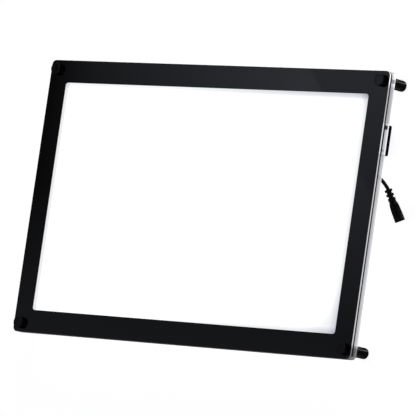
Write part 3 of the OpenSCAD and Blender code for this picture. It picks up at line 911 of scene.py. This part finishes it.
def make_feed_wires():
    """Red and black feed wires in the channel beside the light guide, seen through the clear back."""
    low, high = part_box("led_wires")
    bush_low, bush_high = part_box("wire_bushing")
    board_low, board_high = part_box("control_board")
    exit_x, exit_y = (bush_low.x + bush_high.x) / 2, (bush_low.y + bush_high.y) / 2
    radius, bend, apart = 0.45 * MM, 1.6 * MM, 1.3 * MM
    front_z, back_z = high.z - radius, high.z - radius - 1.2 * MM
    top_y, bottom_y = high.y - radius, low.y + radius
    runs = (
        ("feed_wire_red", "wire_sleeve", exit_x - apart, back_z, board_high.z - 0.5 * MM),
        ("feed_wire_black", "wire_black", exit_x + apart, front_z, board_low.z - 1.0 * MM),
    )
    for name, material, x, z, leg_z in runs:
        channel = rounded_run((
            (low.x, top_y, z), (x - bend, top_y, z), (x, top_y - bend, z),
            (x, bottom_y + bend, z), (x - bend, bottom_y, z), (low.x, bottom_y, z),
        ))
        leg = rounded_run((
            (x, exit_y, z), (x, exit_y, leg_z + bend),
            (x - bend, exit_y, leg_z), (board_high.x, exit_y, leg_z),
        ))
        for part, path in ((name, channel), (name + "_leg", leg)):
            wire = tube(part, path, radius, sides=12)
            settle(wire, "wire_sleeve", "base", "led_wires", material=material)


# ---------------------------------------------------------------- stage

def camera_direction():
    """From the target towards the camera."""
    azimuth, elevation = math.radians(CAMERA_AZIMUTH), math.radians(CAMERA_ELEVATION)
    flat = math.cos(elevation)
    return Vector((flat * math.cos(azimuth), flat * math.sin(azimuth), math.sin(elevation)))


def plane(name, size, centre, facing):
    half = size / 2
    turn = UP.rotation_difference(facing)
    square = ((-half, -half), (half, -half), (half, half), (-half, half))
    corners = [centre + turn @ Vector((x, y, 0)) for x, y in square]
    return mesh_object(name, corners, [(0, 1, 2, 3)], smooth=False)


def make_floor():
    """White table top that shows only a faint shadow, lights what is above it and vanishes from below."""
    floor = plane("floor", 12, CENTRE, UP)
    floor.visible_glossy = False
    material, tree = new_material("floor_white")
    paper = (add(tree, "BsdfDiffuse", Color=grey(1)), "BSDF")
    seen = add_shaders(tree, emission(tree, grey(1), 0.84), paper)
    bounce = emission(tree, grey(1), 0.6)
    by_ray = mix_shaders(tree, (add(tree, "LightPath"), "Is Camera Ray"), bounce, seen)
    from_below = (add(tree, "NewGeometry"), "Backfacing")
    clear = (add(tree, "BsdfTransparent"), "BSDF")
    output(tree, mix_shaders(tree, from_below, by_ray, clear))
    floor.data.materials.append(material)


def card_level(tree, across, up):
    """Brightness of the card where it is mirrored at (across, up) on the panel."""

    def along(source, low, high, to_low, to_high):
        """Ramp between two places given in mm."""
        return value_range(tree, source, low * MM, high * MM, to_low, to_high)

    # brighter to the right and to the top, up to the slanting edge of a softbox near the right end
    to_right = plus(tree, along(across, -245, -190, 0, 0.28), along(across, -190, 130, 0, 0.78))
    to_top = along(up, -105, 130, 0, 1)
    softbox = along(plus(tree, across, up), 268, 270, 1, 0.72)
    bottom = times(tree, along(up, -130, 0, 0.24, 0), along(up, -170, -155, 0, 1))
    return plus(tree, times(tree, to_right, to_top, softbox), bottom)


def make_reflection_card():
    """Soft light seen only in gloss: it lies where the front face mirrors the camera."""
    toward = camera_direction()
    mirror = Vector((-toward.x, -toward.y, toward.z))
    distance = 1.2
    centre = CAMERA_TARGET + mirror * distance
    card = plane("reflection_card", 1.6, centre, -mirror)
    for hidden_from in ("camera", "diffuse", "shadow", "transmission"):
        setattr(card, "visible_" + hidden_from, False)

    # from the card to the panel: measured from the card's centre, and smaller as it is nearer
    material, tree = new_material("card_glow")
    spread = 1 + distance / CAMERA_DISTANCE
    on_panel = add(tree, "VectorMath", operation="MULTIPLY_ADD")
    on_panel.inputs[1].default_value = [1 / spread] * 3
    on_panel.inputs[2].default_value = [-c / spread for c in centre]
    link(tree, (add(tree, "TexCoord"), "Object"), on_panel, 0)
    place = add(tree, "SeparateXYZ")
    link(tree, (on_panel, "Vector"), place, "Vector")

    # the card is square to the mirrored view, so its height stands in for part of the panel's X
    slope = mirror.z / mirror.x
    across = plus(tree, (place, "X"), times(tree, (place, "Z"), -slope))
    level = times(tree, card_level(tree, across, (place, "Y")), 0.55)
    glow = emission(tree, (0.88, 0.92, 1.08, 1), level)
    clear = (add(tree, "BsdfTransparent"), "BSDF")
    output(tree, add_shaders(tree, glow, clear))
    card.data.materials.append(material)


def area_light(name, offset, size, power, size_y=None):
    """Light at an offset from the panel's middle, which it faces."""
    data = bpy.data.lights.new(name, "AREA")
    data.shape = "RECTANGLE"
    data.size = size
    data.size_y = size_y or size
    data.energy = power
    light = bpy.data.objects.new(name, data)
    light.location = CENTRE + Vector(offset)
    light.rotation_mode = "QUATERNION"
    light.rotation_quaternion = (CENTRE - light.location).to_track_quat("-Z", "Y")
    bpy.context.scene.collection.objects.link(light)
    return light


def make_lights():
    area_light("top_strip", (0.7, 1.6, 0.5), 1.6, 4.0, size_y=0.5)
    area_light("key", (1.2, -1.4, 2.2), 1.5, 4.0)
    fill = area_light("fill_left", (-1.8, -0.6, 1.4), 1.4, 3.0)
    fill.visible_glossy = False


def room_level(tree):
    """Light from each direction of the room: soft and low on its sides, and dim elsewhere."""
    direction = add(tree, "SeparateXYZ")
    link(tree, (add(tree, "TexCoord"), "Generated"), direction, "Vector")
    x, y, z = (direction, "X"), (direction, "Y"), (direction, "Z")

    far_side = soft_range(tree, y, 0.62, 0.66, 0, 0.6)
    near_side = soft_range(tree, y, -0.58, -0.66, 0, 0.2)
    low_down = soft_range(tree, z, 0.1, -0.2)
    sides = times(tree, plus(tree, far_side, near_side), low_down)

    # a low light behind on the right, seen as one streak along each black post
    low_light = times(
        tree, soft_range(tree, y, 0.40, 0.47, 0, 1.1), soft_range(tree, y, 0.60, 0.53),
        soft_range(tree, x, 0, 0.15), soft_range(tree, z, -0.35, -0.5),
    )
    above = value_range(tree, z, -0.05, 0, 0, 1)
    horizon = times(tree, soft_range(tree, z, 0.45, 0.6, 0.12, 0), above)
    everywhere = 0.05
    return plus(tree, sides, low_light, horizon, everywhere)


def make_world():
    """White to the camera, and a dim room to everything else."""
    world = bpy.data.worlds.new("studio")
    bpy.context.scene.world = world
    world.use_nodes = True
    tree = world.node_tree
    tree.nodes.clear()
    white = add(tree, "Background", Color=grey(1), Strength=1.0)
    room = add(tree, "Background", Color=(0.96, 0.97, 1.0, 1))
    link(tree, room_level(tree), room, "Strength")
    camera_ray = (add(tree, "LightPath"), "Is Camera Ray")
    by_ray = mix_shaders(tree, camera_ray, (room, "Background"), (white, "Background"))
    link(tree, by_ray, add(tree, "OutputWorld"), "Surface")


def make_camera():
    data = bpy.data.cameras.new("camera")
    data.lens = CAMERA_LENS
    data.sensor_width = SENSOR
    data.clip_end = 50
    back = camera_direction()
    right = CAMERA_UP.cross(back).normalized()
    up = back.cross(right)
    turn = Matrix((right, up, back)).transposed().to_4x4()
    camera = bpy.data.objects.new("camera", data)
    camera.matrix_world = Matrix.Translation(CAMERA_TARGET + back * CAMERA_DISTANCE) @ turn
    bpy.context.scene.collection.objects.link(camera)
    bpy.context.scene.camera = camera
    bpy.context.scene.view_settings.view_transform = "Standard"


dress_cad()
make_caps()
make_feet()
make_pads()
make_studs()
make_cable()
make_bushing()
make_jack()
make_feed_wires()
make_floor()
make_reflection_card()
make_lights()
make_world()
make_camera()
